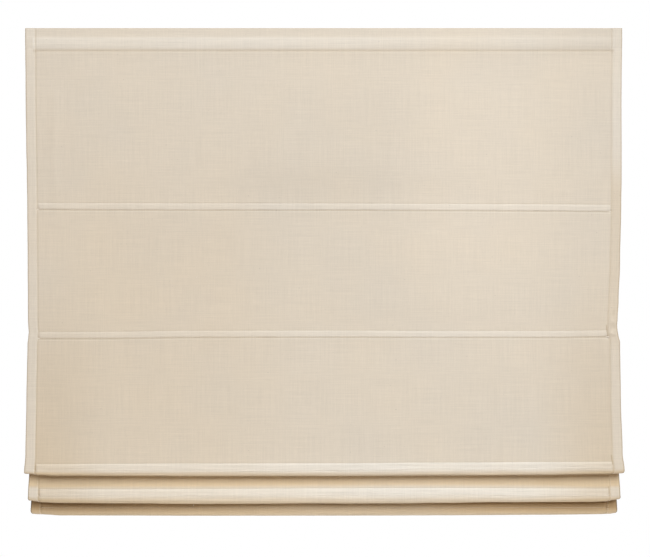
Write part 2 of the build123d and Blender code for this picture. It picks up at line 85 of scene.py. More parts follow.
# Where the folds hang
front_y = -0.0206
fold_pitch = 0.016
seam_y = (front_y, front_y, front_y, front_y + fold_pitch, front_y + 2 * fold_pitch)
seam_z = (*(-top_gap - v for v in seam_v[:3]), -0.7885, -0.8155)
bar_y = front_y + 3 * fold_pitch
hem_top = -0.7355
hem_drop = 0.026
hem_back = 0.0051

# Lift cords, from the spools through the rings to the anchors
cord_x = 0.213
cord_radius = 0.0005
shaft_y, shaft_z = -0.0045, -0.024
winding_radius = 0.00705
winding_length = 0.012
winding_turns = 12
ring_y, ring_drop = 0.00635, 0.004

# How a half panel turns up behind its fold, and how far each one is lifted from hanging straight
travels = {3: 0.171, 4: 0.191, 5: 0.189}
rim_length = 0.004
rim_lean = 0.0015
rim_round = 0.3
crest_length = 0.0025
crest_lean = 0.0012
crest_round = 0.2
climb_slant = 0.35
layer_middle = 0.0004
rim_lowest = 0.15
rim_corner = 0.0017
rim_forward = {3: 0.0, 4: 0.0, 5: 0.0006}


# Small sums
def together(u, v):
    """u and v as two arrays of one shape."""
    return np.broadcast_arrays(np.asarray(u, float), np.asarray(v, float))


def smooth(x, low, high):
    """A step from 0 below low to 1 above high: three times the share squared, less twice its cube."""
    t = np.clip((x - low) / (high - low), 0, 1)
    return t * t * (3 - 2 * t)


def bell(x, middle, spread):
    """A bell curve: e to the minus square of the distance from the middle over the spread."""
    return np.exp(-(((x - middle) / spread) ** 2))


def rumple(x, z, seed, pitch_x, pitch_z):
    """Random heights from -1 to 1 on a lattice of the two pitches, joined by smooth steps."""
    heights = np.random.default_rng(seed).uniform(-1, 1, (512, 1024))
    across, down = x / pitch_x + 512, z / pitch_z + 256
    i, j = np.floor(down).astype(int) % 511, np.floor(across).astype(int) % 1023
    s, t = smooth(down - np.floor(down), 0, 1), smooth(across - np.floor(across), 0, 1)
    upper = heights[i, j] * (1 - t) + heights[i, j + 1] * t
    lower = heights[i + 1, j] * (1 - t) + heights[i + 1, j + 1] * t
    return upper * (1 - s) + lower * s


def eased(x, at, values):
    """The values joined over the places at, by smooth steps."""
    at, values = np.asarray(at, float), np.asarray(values, float)
    k = np.clip(np.searchsorted(at, x) - 1, 0, len(at) - 2)
    return values[k] + (values[k + 1] - values[k]) * smooth((x - at[k]) / (at[k + 1] - at[k]), 0, 1)


# How the cloth hangs: the tables have their places in metres and their distances in millimetres

# Across the cloth, how much each seam lies above its level place
seam_places = (-0.48, -0.375, -0.207, 0.0, 0.2, 0.38, 0.48)
seam_lift = (
    (-0.3, -0.8, -1.2, -1.3, -2.0, -2.9, -3.7),
    (1.1, 1.2, 3.2, 3.5, 3.1, 3.0, 4.0),
    (-3.2, -2.7, -2.2, -1.8, -0.6, 0.4, 0.8),
    (-2.8, -2.6, -2.2, -1.0, -0.4, -1.2, -1.6),
    (0.4, 0.2, 0.0, 0.0, 0.4, 0.8, 1.0),
)
# Across the cloth, how deep the turned-up cloth hangs below each of the three folded seams
rim_places = (-0.5, -0.49, -0.478, -0.45, -0.35, -0.2, 0.13, 0.21, 0.3, 0.38, 0.45, 0.478, 0.49, 0.5)
rim_depth = {
    3: (4.6, 4.7, 6.6, 7.9, 8.3, 9.1, 9.4, 9.4, 9.3, 9.3, 8.6, 8.2, 7.6, 7.0),
    4: (7.4, 8.6, 10.2, 11.4, 12.0, 13.2, 13.7, 13.0, 11.5, 11.0, 10.4, 9.6, 7.6, 6.0),
    5: (10.2, 10.9, 11.2, 12.8, 12.8, 13.0, 12.8, 12.6, 12.3, 12.0, 11.4, 11.0, 10.6, 9.2),
}
# Down the cloth, how far each side edge lies in from half the width
edge_v = (0.0, 0.12, 0.2, 0.24, 0.29, 0.39, 0.46, 0.49, 0.503, 0.511, 0.519, 0.532, 0.62, 0.715, 0.741)
left_edge = (-0.9, -0.2, 0.9, 1.8, 2.5, 3.2, 3.7, 3.8, 4.4, 5.2, 4.4, 2.9, 1.2, -0.6, -2.6)
right_edge = (-1.4, -0.4, -0.6, -0.6, 0.0, 2.0, 4.6, 6.2, 7.0, 6.4, 4.9, 2.0, 0.8, -2.2, -5.4)
# The same at the seams of the two rear folds, and at their ring rows
rear_edges = {4: (-2.2, -4.4), 5: (-3.2, -4.6)}
row_edges = (0.6, -0.6)


def seam_shift(n, u):
    """How much seam n lies above its level place at u."""
    return 0.001 * eased(u, seam_places, seam_lift[n - 1])


def drawn_in(u, left, right):
    """u with the left and right edge moved in: the shift grows as the fourth power from the middle."""
    pull = np.clip(np.abs(u) / half_width, 0, 1) ** 4
    return u + np.where(u < 0, left, -right) * pull * 0.001


def billow(u, v):
    """How far the hung panels stand out: bells across, held flat at the seams by smooth steps."""
    one = smooth(v, 0.04, 0.12) * (1 - smooth(v, 0.23, 0.285))
    two = smooth(v, 0.31, 0.38) * (1 - smooth(v, 0.46, 0.505))
    three = smooth(v, 0.53, 0.60) * (1 - smooth(v, 0.67, 0.722))
    swell = one * (0.0019 * bell(u, 0.03, 0.24) + 0.0006 * bell(u, -0.36, 0.07))
    swell += two * (0.0012 * bell(u, 0.12, 0.2) - 0.0006 * bell(u, -0.2, 0.12))
    swell += three * (0.0017 * bell(u, 0.05, 0.22) - 0.0008 * bell(np.abs(u), 0.44, 0.06))
    swell += (one + two + three) * 0.00035 * rumple(u, v, 3, 0.11, 0.3)
    ridge = 0.0009 * bell(u, -0.452, 0.007) * smooth(v, 0.08, 0.14) * (1 - smooth(v, 0.26, 0.29))
    inside = 1 - smooth(np.abs(u), 0.475, 0.484)
    return (swell + ridge) * inside


def streaks(n, u, up):
    """Fine long ridges along pocket n, where the doubled cloth lies a little full over its rib."""
    return rumple(u, up, 30 + n, 0.07, 0.0019) + 0.6 * rumple(u, up, 50 + n, 0.025, 0.0012)


# Where across the cloth the pockets are pulled in, as by the cords behind them, and how strongly
pocket_pulls = ((-0.2224, 1.0), (0.202, 0.9), (-0.316, 0.7), (-0.405, 0.4))


def band(u, v):
    """A rod pocket seen from the front: a low flat tube over its rib, drawn in at both seams.

    Smooth steps of the height make the tube, and narrow bells the dents of its seams and cords.
    """
    inside = 1 - smooth(np.abs(u), *tube_end)
    total = np.zeros(np.broadcast(u, v).shape)
    for n, seam in enumerate(seam_v):
        up = seam - v
        share = up / pocket_height
        rise = smooth(share, 0.02, 0.3) if n < 2 else smooth(share, -0.1, 0)
        full = rise * (1 - smooth(share, 0.66, 0.98))
        full *= 1 - (0.16 if n < 2 else 0.05) * bell(share, 0.5, 0.13)
        total += pocket_bulge[n] * full * (1 + 0.12 * rumple(u, v * 0, 20 + n, 0.03, 1)) * inside
        total += (0.0001 if n < 2 else 0.00038) * streaks(n, u, up) * full * inside
        for place, deep in pocket_pulls:
            total -= 0.00045 * deep * bell(u, place, 0.0022) * full
        for line in (0.0006, 0.0124):
            near = bell(up, line, 0.0006)
            broken = 0.75 + 0.5 * rumple(u, v * 0, 27 + n, 0.02, 1)
            total -= (pocket_seam[n] * broken if line < 0.002 else 0.0002) * near * inside
            gathered = bell(up, line, 0.0035) * (1 - smooth(np.abs(u), 0.479, 0.483))
            total += 0.00016 * gathered * rumple(u, v, 40 + n, 0.0065, 0.02)
        total -= 0.0011 * bell(np.abs(u), 0.4818, 0.0022) * bell(up, 0.001, 0.0028)
    return total


def top_roll(u, v):
    """The top hem: a soft roll over the strip behind it, then the dark dip of its seam."""
    inside = 1 - smooth(np.abs(u), 0.479, 0.4835)
    roll = 0.0009 * smooth(v, 0.011, 0.0205) * (1 - smooth(v, 0.0265, 0.0365))
    roll += 0.00012 * rumple(u, v, 61, 0.02, 0.008) * bell(v, 0.022, 0.012)
    seam = -0.0004 * bell(v, 0.0377, 0.0023) + 0.0002 * bell(v, 0.0415, 0.0016)
    puckers = 0.00014 * bell(v, 0.0374, 0.003) * rumple(u, v, 62, 0.007, 0.02)
    return roll * (0.4 + 0.6 * inside) + (seam + puckers) * inside - 0.0003 * (1 - smooth(v, 0.0, 0.0012))


# The crumple of the right hem at the second seam: where across and down, how high, millimetres wide
crumple_spots = ((0.4915, 0.485, -0.9, 2.6), (0.4900, 0.4965, 0.8, 4.0), (0.4940, 0.5075, -0.6, 2.4),
                 (0.4895, 0.5170, 0.7, 3.6), (0.4800, 0.5240, -0.5, 2.6))


def side_relief(u, v):
    """The side hems: a bell each for the seam's dent and its ridge, waves, and the spots' bells."""
    a = np.abs(u) - side_hem
    seam = -0.00042 * bell(a, 0.0, 0.0011) + 0.00022 * bell(a, 0.0042, 0.0022)
    edge = 0.0002 * smooth(a, 0.001, 0.003) - 0.0008 * smooth(np.abs(u), 0.497, 0.5) ** 2
    waves = 0.00025 * rumple(a, v, 70, 0.02, 0.016) * smooth(a, 0.001, 0.006)
    crumple = sum(0.0023 * h * bell(u, x, 0.001 * w) * bell(v, y, 0.001 * w)
                  for x, y, h, w in crumple_spots)
    left = 0.0006 * bell(u, -0.4905, 0.005) * bell(v, 0.513, 0.005)
    return seam + edge + waves + crumple - left


def level(u, v):
    """Height of hung cloth at v: straight down from the top, tilted as the seams above and below it."""
    places = (0.0, 0.04) + seam_v[:3]
    k = np.clip(np.searchsorted(places, v) - 1, 0, len(places) - 2)
    lower, upper = np.asarray(places)[k], np.asarray(places)[k + 1]
    share = np.clip((v - lower) / (upper - lower), 0, 1)
    stack = np.stack([u * 0, u * 0, *(seam_shift(n, u) for n in (1, 2, 3))])
    near = np.take_along_axis(stack, k[None], 0)[0]
    far = np.take_along_axis(stack, k[None] + 1, 0)[0]
    return -top_gap - v + near + (far - near) * share


def hung(u, v):
    """The front of the cloth in the hanging panels: its plane, less every relief on it."""
    u, v = together(u, v)
    relief = billow(u, v) + band(u, v) + top_roll(u, v) + side_relief(u, v)
    x = drawn_in(u, eased(v, edge_v, left_edge), eased(v, edge_v, right_edge))
    return np.stack([x, front_y - relief, level(u, v)], -1)


def fold_face(n):
    """The front of fold n's face in the stack, from its ring row down to its seam."""
    row = seam_v[n - 1] - half_panel

    def front(u, v):
        """The fold's plane less its reliefs; its height tilts from the level row to the seam."""
        u, v = together(u, v)
        share = np.clip((v - row) / half_panel, 0, 1)
        relief = band(u, v) + side_relief(u, v)
        relief += 0.0004 * rumple(u, v, 80 + n, 0.09, 0.2) * bell(share, 0.5, 0.3)
        relief -= 0.0028 * bell(share, 0.66, 0.16) if n == 4 else 0.0022 * bell(share, 0.72, 0.13)
        z = seam_z[n - 1] + half_panel * (1 - share) + seam_shift(n, u) * share
        left, right = ((1 - share) * row_edges[k] + share * rear_edges[n][k] for k in (0, 1))
        return np.stack([drawn_in(u, left, right), seam_y[n - 1] - relief, z], -1)

    return front


def ramp(t):
    """A climb from 0 to 1 that starts and ends level: its speed grows, holds, then falls."""
    speed = 1 / (1 - rim_round / 2 - crest_round / 2)
    t = np.clip(t, 0, 1)
    rising = speed * t * t / (2 * rim_round)
    falling = 1 - speed * (1 - t) ** 2 / (2 * crest_round)
    steady = speed * (t - rim_round / 2)
    return np.where(t < rim_round, rising, np.where(t > 1 - crest_round, falling, steady))


def climb_ends(travel):
    """How deep the climb starts and ends, measured square to its slant."""
    low = rim_lean - climb_slant * rim_length
    return low, fold_pitch - crest_lean + climb_slant * (travel - half_panel + crest_length)


def turned_line(share, travel):
    """Depth and height of a turned-up half panel at a share of its length below its seam.

    The height is that of cloth hanging straight plus travel times the ramp. The depth is a parabola
    from the seam, then an inverse smooth step of the ramp less a slant of the height, then a parabola.
    """
    start, end = rim_length / half_panel, 1 - crest_length / half_panel
    climb = ramp((share - start) / (end - start))
    height = travel * climb - half_panel * share
    low, high = climb_ends(travel)
    middle = low + (high - low) * (0.5 - np.sin(np.arcsin(1 - 2 * climb) / 3)) - climb_slant * height
    first = rim_lean * (share / start) ** 2
    last = fold_pitch - crest_lean * ((1 - share) / (1 - end)) ** 2
    return np.where(share < start, first, np.where(share > end, last, middle)), height


def lowest(travel):
    """How far the turned-up line dips below its seam."""
    return -turned_line(np.linspace(0, 1, 400), travel)[1].min()


def hanging_rim(share, travel, scale):
    """The turned-up line with its front kept upright down to a tight corner, and its dip scaled.

    Down to the lowest point the depth is the corner's times the fourth power of the dip's share.
    Past it the line's own depth is moved forward to join on, by an offset that a smooth step ends.
    """
    depth, height = turned_line(share, travel)
    low = np.clip(-height / lowest(travel), 0, 1)
    back = turned_line(np.array(rim_lowest), travel)[0] - rim_corner
    settled = depth - back * (1 - smooth(share, rim_lowest, 0.37))
    upright = np.where(share < rim_lowest, rim_corner * low ** 4, settled)
    return upright, np.where(height < 0, height * scale, height)


def turned(n, travel):
    """The front of the cloth that turns up behind fold n."""
    seam = seam_v[n - 1]
    dip = lowest(travel)
    sides = (eased(seam, edge_v, left_edge), eased(seam, edge_v, right_edge)) if n == 3 else rear_edges[n]

    def front(u, v):
        """The rim line at each place across the cloth, moved out by half a layer and its fullness."""
        u, v = together(u, v)
        share = np.clip((v - seam) / half_panel, 0, 1)
        scale = 0.001 * eased(u, rim_places, rim_depth[n]) / dip
        depth, height = hanging_rim(share, travel, scale)
        low = np.clip(-height / (dip * scale), 0, 1)
        near = 1 - smooth(share, 0.07, 0.25)
        full = pocket_bulge[n - 1] * (1 + 0.12 * rumple(u, v * 0, 19 + n, 0.03, 1))
        full += 0.00038 * streaks(n - 1, u, seam - v)
        full *= 1 - smooth(np.abs(u), *tube_end)
        puff = 0.00025 * rumple(u, v, 90 + n, 0.012, 0.2) * low + (full + rim_forward[n] * low) * near
        d = 0.002
        (y_a, z_a), (y_b, z_b) = hanging_rim(share - d, travel, scale), hanging_rim(share + d, travel, scale)
        run = np.hypot(y_b - y_a, z_b - z_a)
        inward_y, inward_z = (z_a - z_b) / run, (y_b - y_a) / run
        flat = smooth(share, 0.0, 0.012) * (1 - smooth(share, 0.988, 1.0))
        inward_y, inward_z = 1 + (inward_y - 1) * flat, inward_z * flat
        y = seam_y[n - 1] + layer_middle + depth - inward_y * layer_middle - puff
        z = seam_z[n - 1] + height + seam_shift(n, u) * (1 - share) - inward_z * layer_middle
        flare = 0.5 * low - 3.0 * low ** 5
        left, right = ((1 - share) * sides[k] + share * row_edges[k] - flare for k in (0, 1))
        groove = bell(np.abs(u), side_hem, 0.0012) * 0.0003
        return np.stack([drawn_in(u, left, right), y + groove * inward_y, z + groove * inward_z], -1)

    return front


# Meshes
def quads(a, b, c, d):
    """Four equal arrays of point numbers as a list of quads."""
    return np.stack([a, b, c, d], -1).reshape(-1, 4)


def shell(front, back, cloth):
    """Closed quads over a front grid, a back grid and the rim that joins their edges."""
    rows, columns = front.shape[:2]
    count = rows * columns
    at = np.arange(count).reshape(rows, columns)
    face = quads(at[:-1, :-1], at[1:, :-1], at[1:, 1:], at[:-1, 1:])
    rear = quads(at[:-1, :-1], at[:-1, 1:], at[1:, 1:], at[1:, :-1]) + count
    rim = np.concatenate([at[:, 0], at[-1, 1:], at[-2::-1, -1], at[0, -2::-1]])
    edge = quads(rim[1:], rim[:-1], rim[:-1] + count, rim[1:] + count)
    points = np.concatenate([front.reshape(-1, 3), back.reshape(-1, 3)])
    return points, np.concatenate([face, rear, edge]), np.tile(cloth.reshape(-1, 2), (2, 1))


def bar_quads(count, sides):
    """Quads of a closed bar: walls between its rings of points, and strips across both end rings."""
    at = np.arange(count * sides).reshape(count, sides)
    turn = np.roll(at, -1, axis=1)
    caps = [[e[k], e[k + 1], e[sides - 2 - k], e[sides - 1 - k]]
            for e in (at[0][::-1], at[-1]) for k in range(sides // 2 - 1)]
    return np.concatenate([quads(at[:-1], turn[:-1], turn[1:], at[1:]), np.array(caps)])


def run_along(path):
    """How far along its path each point lies."""
    return np.concatenate([[0], np.cumsum(np.linalg.norm(np.diff(path, axis=0), axis=1))])


def tube(path, radius, sides):
    """A round cord: rings of points square to a path, closed at both ends; its map is turn and length."""
    along = np.gradient(path, axis=0)
    along /= np.linalg.norm(along, axis=1, keepdims=True)
    first = np.cross(along, [1.0, 0.0, 0.0])
    weak = np.linalg.norm(first, axis=1) < 0.5
    first[weak] = np.cross(along[weak], [0.0, 0.0, 1.0])
    first /= np.linalg.norm(first, axis=1, keepdims=True)
    second = np.cross(along, first)
    angle = np.arange(sides) * 2 * math.pi / sides
    ring = np.cos(angle)[None, :, None] * first[:, None] + np.sin(angle)[None, :, None] * second[:, None]
    points = path[:, None] + radius * ring
    wrap = np.stack(np.broadcast_arrays(angle[None, :] / (2 * math.pi), run_along(path)[:, None]), -1)
    return points.reshape(-1, 3), bar_quads(len(path), sides), wrap.reshape(-1, 2)


def grains(centre, along, out, length, radius):
    """Sewn stitches: small closed grains, each a run of six-sided rings that narrows at both ends."""
    step = np.array([-1.0, -0.72, 0.0, 0.72, 1.0])
    girth = np.array([0.3, 0.9, 1.0, 0.9, 0.3])
    side = np.cross(out, along)
    angle = (np.arange(6) * math.pi / 3)[None, None, :, None]
    ring = np.cos(angle) * side[:, None, None] + np.sin(angle) * out[:, None, None]
    spine = centre[:, None] + along[:, None] * (step * length / 2)[None, :, None]
    spine = spine + out[:, None] * (radius * (0.9 - 1.0 * step ** 2))[None, :, None]
    points = spine[:, :, None] + radius * girth[None, :, None, None] * ring
    every = bar_quads(5, 6)[None] + 30 * np.arange(len(centre))[:, None, None]
    return points.reshape(-1, 3), every.reshape(-1, 4), np.zeros((len(centre) * 30, 2))


def sewn(surface, u, v, down=False, lean=1.0):
    """Stitches on a surface at (u, v), laid across it or down it; a lean of -1 is for its far side."""
    u, v = together(u, v)
    d = 0.0003
    across = surface(u + d, v) - surface(u - d, v)
    fall = surface(u, v + d) - surface(u, v - d)
    out = np.cross(fall, across)
    out /= np.linalg.norm(out, axis=1, keepdims=True)
    along = fall if down else across
    along = along / np.linalg.norm(along, axis=1, keepdims=True)
    return grains(surface(u, v), along, lean * out, stitch_length, stitch_radius)


def build(name, pieces, finishes):
    """One mesh object out of (points, quads, cloth places) pieces; the last finish serves the rest."""
    starts = np.cumsum([0] + [len(points) for points, _, _ in pieces])
    points = np.concatenate([points for points, _, _ in pieces])
    faces = np.concatenate([faces + s for (_, faces, _), s in zip(pieces, starts)])
    places = np.concatenate([places for _, _, places in pieces])
    mesh = bpy.data.meshes.new(name)
    mesh.vertices.add(len(points))
    mesh.vertices.foreach_set("co", points.astype(np.float32).ravel())
    mesh.loops.add(faces.size)
    mesh.loops.foreach_set("vertex_index", faces.astype(np.int32).ravel())
    mesh.polygons.add(len(faces))
    mesh.polygons.foreach_set("loop_start", np.arange(0, faces.size, 4, dtype=np.int32))
    mesh.polygons.foreach_set("material_index", np.concatenate(
        [np.full(len(f), min(k, len(finishes) - 1), np.int32) for k, (_, f, _) in enumerate(pieces)]))
    mesh.update(calc_edges=True)
    layer = mesh.uv_layers.new(name="cloth")
    layer.data.foreach_set("uv", places[faces.ravel()].astype(np.float32).ravel())
    for finish in finishes:
        mesh.materials.append(finish)
    mesh.shade_smooth()
    mesh.set_sharp_from_angle(angle=math.radians(48))
    piece = bpy.data.objects.new(name, mesh)
    bpy.context.scene.collection.objects.link(piece)
    return piece


# Places across the cloth: close together at its edges and the side hems' seams, even between
hem_columns = np.array([0.5, 0.4994, 0.4985, 0.497, 0.495, 0.4925, 0.49, 0.4882, 0.4868, 0.4856, 0.4846,
                        0.4838, 0.4833, 0.4829, 0.4824, 0.4818, 0.481, 0.48, 0.4788, 0.4775, 0.4755, 0.473])
columns = np.concatenate([-hem_columns, np.linspace(-0.47, 0.47, 245), hem_columns[::-1]])


def rows(start, end):
    """Places down the cloth: about 4.5 mm apart, and closer together at the seams and the top hem."""
    near = np.array([-16, -13, -10.5, -8, -6, -4, -2.5, -1.6, -1, -0.6, -0.3, 0, 0.3, 0.6, 0.9, 1.3, 2, 3,
                     4.4, 6, 7.5, 9, 10.2, 11, 11.5, 11.9, 12.2, 12.5, 12.8, 13.2, 14, 15.2, 17]) * 0.001
    top = np.array([0, 0.5, 1, 2, 4, 7, 9.5, 12, 14.5, 17, 20, 23, 26, 28.5, 31, 33, 34.5, 35.5, 36.3, 36.9,
                    37.4, 37.9, 38.6, 39.6, 40.8, 42.5]) * 0.001
    even = np.linspace(start, end, int((end - start) / 0.0045) + 2)
    fine = np.concatenate([top] + [seam - near for seam in seam_v])
    clear = np.min(np.abs(even[:, None] - fine[None]), axis=1) > 0.0016
    clear[0] = clear[-1] = True
    fine = fine[(fine > start + 0.0002) & (fine < end - 0.0002)]
    return np.unique(np.concatenate([even[clear], fine]))


def layers(u, v=None):
    """Cloth thickness: one layer, two in the side hems and the top hem, thin where it turns over."""
    folded = smooth(np.abs(u), 0.4827, 0.4834)
    thick = single_layer + (two_layers - single_layer) * folded
    if v is not None:
        thick = thick + (0.0016 - thick) * (1 - smooth(v, top_hem, top_hem + 0.0006))
    return thick * (1 - 0.45 * smooth(np.abs(u), 0.4985, 0.5))


def flat_cloth(front, start, end):
    """A stretch of cloth in one plane: its front grid, and a back grid one thickness behind."""
    v = rows(start, end)
    u_grid, v_grid = np.meshgrid(columns, v)
    face = front(u_grid, v_grid)
    back = face + layers(u_grid, v_grid)[..., None] * np.array([0.0, 1.0, 0.0])
    return shell(face, back, np.stack([u_grid, -v_grid], -1))


def spaced(*stretches):
    """Places in order, even within each stretch of (start, end, count)."""
    return np.unique(np.concatenate([np.linspace(*stretch) for stretch in stretches]))


def curved_cloth(front, v, thickness):
    """A bent stretch: its front grid, and a back grid one thickness inwards, square to its line."""
    u_grid, v_grid = np.meshgrid(columns, v)
    face = front(u_grid, v_grid)
    out = np.cross(np.gradient(face, axis=0), np.gradient(face, axis=1))
    out[..., 0] = 0
    out /= np.linalg.norm(out, axis=-1, keepdims=True)
    back = face - out * np.broadcast_to(thickness, u_grid.shape)[..., None]
    return shell(face, back, np.stack([u_grid, -v_grid], -1))


stitch_u = np.arange(-0.4805, 0.481, stitch_pitch)


def hem_stitches(front, start, end):
    """A line of stitches down each side hem, on the front."""
    v = np.arange(start + 0.0015, end - 0.001, stitch_pitch)
    return [sewn(front, side * side_stitches, v, down=True) for side in (-1, 1)]


# Finishes
class Value:
    """A number or vector among nodes; the usual operators on it add Math nodes."""

    def __init__(self, finish, socket):
        self.finish, self.socket = finish, socket

    def maths(self, operation, *values):
        """A Math node's result on the values."""
        return self.finish.node("Math", {"operation": operation}, dict(enumerate(values)))

    def __add__(self, other):
        return self.maths("ADD", self, other)

    __radd__ = __add__

    def __mul__(self, other):
        return self.maths("MULTIPLY", self, other)

    __rmul__ = __mul__

    def __sub__(self, other):
        return self.maths("SUBTRACT", self, other)

    def __rsub__(self, other):
        return self.maths("SUBTRACT", other, self)

    def __pow__(self, other):
        return self.maths("POWER", self, other)

    def __abs__(self):
        return self.maths("ABSOLUTE", self)

    def sine(self):
        return self.maths("SINE", self)

    def step(self, low, high):
        """0 below low, 1 above high, smooth between."""
        return self.finish.node("MapRange", {"interpolation_type": "SMOOTHSTEP"}, {0: self, 1: low, 2: high})

    def near(self, full, reach):
        """1 within full of zero, 0 past reach of it, smooth between."""
        return (abs(self) * -1).step(-reach, -full)

    def clamped(self):
        """The value kept from 0 to 1."""
        return self.finish.node("Clamp", inputs={0: self})

    def part(self, name):
        """Another output of the node that made this value."""
        return Value(self.finish, self.socket.node.outputs[name])


class Nodes:
    """The shader nodes of a material or a world."""

    def __init__(self, tree):
        self.tree = tree

    def node(self, kind, settings=None, inputs=None, output=0):
        """A shader node of a kind: its settings first, then the values or links of its sockets."""
        made = self.tree.nodes.new("ShaderNode" + kind)
        for key, value in (settings or {}).items():
            setattr(made, key, value)
        for socket, value in (inputs or {}).items():
            if isinstance(value, Value):
                self.tree.links.new(value.socket, made.inputs[socket])
            else:
                made.inputs[socket].default_value = value
        return Value(self, made.outputs[output])

    def show(self, value, owner="Material"):
        """Lead a shader into the output node of a Material or a World."""
        self.tree.links.new(value.socket, self.tree.nodes[owner + " Output"].inputs["Surface"])


class Finish(Nodes):
    """A material on one Principled shader, and the nodes that feed it."""

    def __init__(self, name, colour, **constants):
        self.material = bpy.data.materials.new(name)
        self.material.use_nodes = True
        super().__init__(self.material.node_tree)
        self.shader = self.tree.nodes["Principled BSDF"]
        self.shader.inputs["Base Color"].default_value = (*colour, 1)
        self.material.diffuse_color = (*colour, 1)
        for socket, value in constants.items():
            self.shader.inputs[socket.replace("_", " ")].default_value = value

    def feed(self, socket, value):
        """Lead a value into a socket of the shader."""
        self.tree.links.new(value.socket, self.shader.inputs[socket])

    def place(self):
        """The piece's own coordinates, in metres."""
        return self.node("TexCoord", output="Object")

    def cloth(self):
        """The cloth places u and v of the piece's own map."""
        both = self.node("SeparateXYZ", inputs={0: self.node("UVMap", {"uv_map": "cloth"})})
        return both, both.part("Y")

    def spread(self, x, y):
        """A vector in the plane of two values."""
        return self.node("CombineXYZ", inputs={0: x, 1: y})

    def noise(self, vector, scale=1.0, detail=2.0, roughness=0.5):
        """Noise from 0 to 1 at a vector."""
        sockets = {"Vector": vector, "Scale": scale, "Detail": detail, "Roughness": roughness}
        return self.node("TexNoise", inputs=sockets)

    def drawn(self, vector, scale, detail=2.0, roughness=0.5):
        """Noise at a vector times a scale for each axis, so that it runs in threads or streaks."""
        scaled = self.node("Mapping", inputs={"Vector": vector, "Scale": scale})
        return self.noise(scaled, 1.0, detail, roughness)

    def blend(self, share, low, high):
        """Two colours mixed by a share."""
        sockets = {"Factor": share, 6: low if isinstance(low, Value) else (*low, 1),
                   7: high if isinstance(high, Value) else (*high, 1)}
        return self.node("Mix", {"data_type": "RGBA"}, sockets, output=2)

    def shade(self, colour, amount):
        """A colour made lighter or darker: times a grey of the amount."""
        grey = self.node("CombineColor", inputs={0: amount, 1: amount, 2: amount})
        settings = {"data_type": "RGBA", "blend_type": "MULTIPLY"}
        return self.node("Mix", settings, {"Factor": 1.0, 6: colour, 7: grey}, output=2)

    def bump(self, height, distance, strength):
        """Lead a height into the shader's normal."""
        bump = self.node("Bump", inputs={"Height": height, "Distance": distance, "Strength": strength})
        self.feed("Normal", bump)


# Painted crease shade beside the side hems: where across, where down, how far each way, how deep
hem_crease_shades = ((0.4812, 0.512, 0.013, 1.5), (0.4812, 0.7255, 0.010, 1.1), (-0.4812, 0.735, 0.007, 0.9),
             (0.4812, 0.949, 0.008, 0.9), (-0.4812, 0.951, 0.008, 0.9))
# For each pocket from the top: how far its pale band reaches below the seam, how pale, how deep the painted
# shade along its lower seam. The lowest pocket's small paleness is painted shade, as that fold lies in
# shadow.
band_reach = (0.0026, 0.0026, 0.009, 0.009, 0.009)
band_paler = (0.42, 0.5, 1.0, 1.0, 0.15)
band_crease_shade = (1.2, 1.3, 0.0, 0.0, 0.0)


def doubled_share(u, v):
    """How much the cloth looks doubled: in the pockets, the bottom hem, the top hem and the side hems."""
    across, down = abs(u), v * -1
    hems = across.step(0.4826, 0.4838)
    inside = 1 - across.step(0.481, 0.4835)
    bands = 0
    for seam, reach, paler in zip(seam_v, band_reach, band_paler):
        up = v + seam
        bands = bands + up.step(-reach - 0.001, 0.001 - reach) * (1 - up.step(0.012, 0.0132)) * paler
    foot = 1 - (v + hem_v).step(-0.0006, 0.0006)
    doubled = (bands + foot) * inside * 0.9
    backed = (v + 0.0248).near(0.0078, 0.0105) * (1 - across.step(0.486, 0.488))
    doubled = doubled + backed * (0.5 - u.step(0.0, 0.25) * 0.3) + (v + top_hem).step(-0.0006, 0.0006) * 0.12
    # The hems' paleness fades out in the rearmost fold: painted shade, as that fold lies in shadow.
    doubled = doubled + hems * (0.34 + down.step(0.3, 0.75) * 0.1) * (1 - down.step(1.12, 1.165))
    return doubled.clamped()


def painted_crease_shade(u, v):
    """How deep the painted crease shade is: dark lines beside the hems' seams, along the top hem's and the
    pockets' seams, along the outer edges and at the marks.
    """
    across = abs(u)
    inside = 1 - across.step(0.481, 0.4835)
    painted_creases = (across - 0.4826).near(0.0002, 0.0024) * 0.5 + across.step(0.4976, 0.4996)
    painted_creases = painted_creases + (v + 0.038).near(0.0004, 0.0036) * (1 - across.step(0.486, 0.488)) * 0.65
    for seam, deep in zip(seam_v, band_crease_shade):
        painted_creases = painted_creases + (v + seam - 0.0002).near(0.0003, 0.0016) * inside * deep
        painted_creases = painted_creases + (v + seam - 0.0128).near(0.0003, 0.001) * inside * 0.35
    for place, middle, reach, deep in hem_crease_shades:
        mark = (u - place).near(0.0004, 0.0017) * (v + middle).near(reach * 0.6, reach)
        painted_creases = painted_creases + mark * deep
    return painted_creases


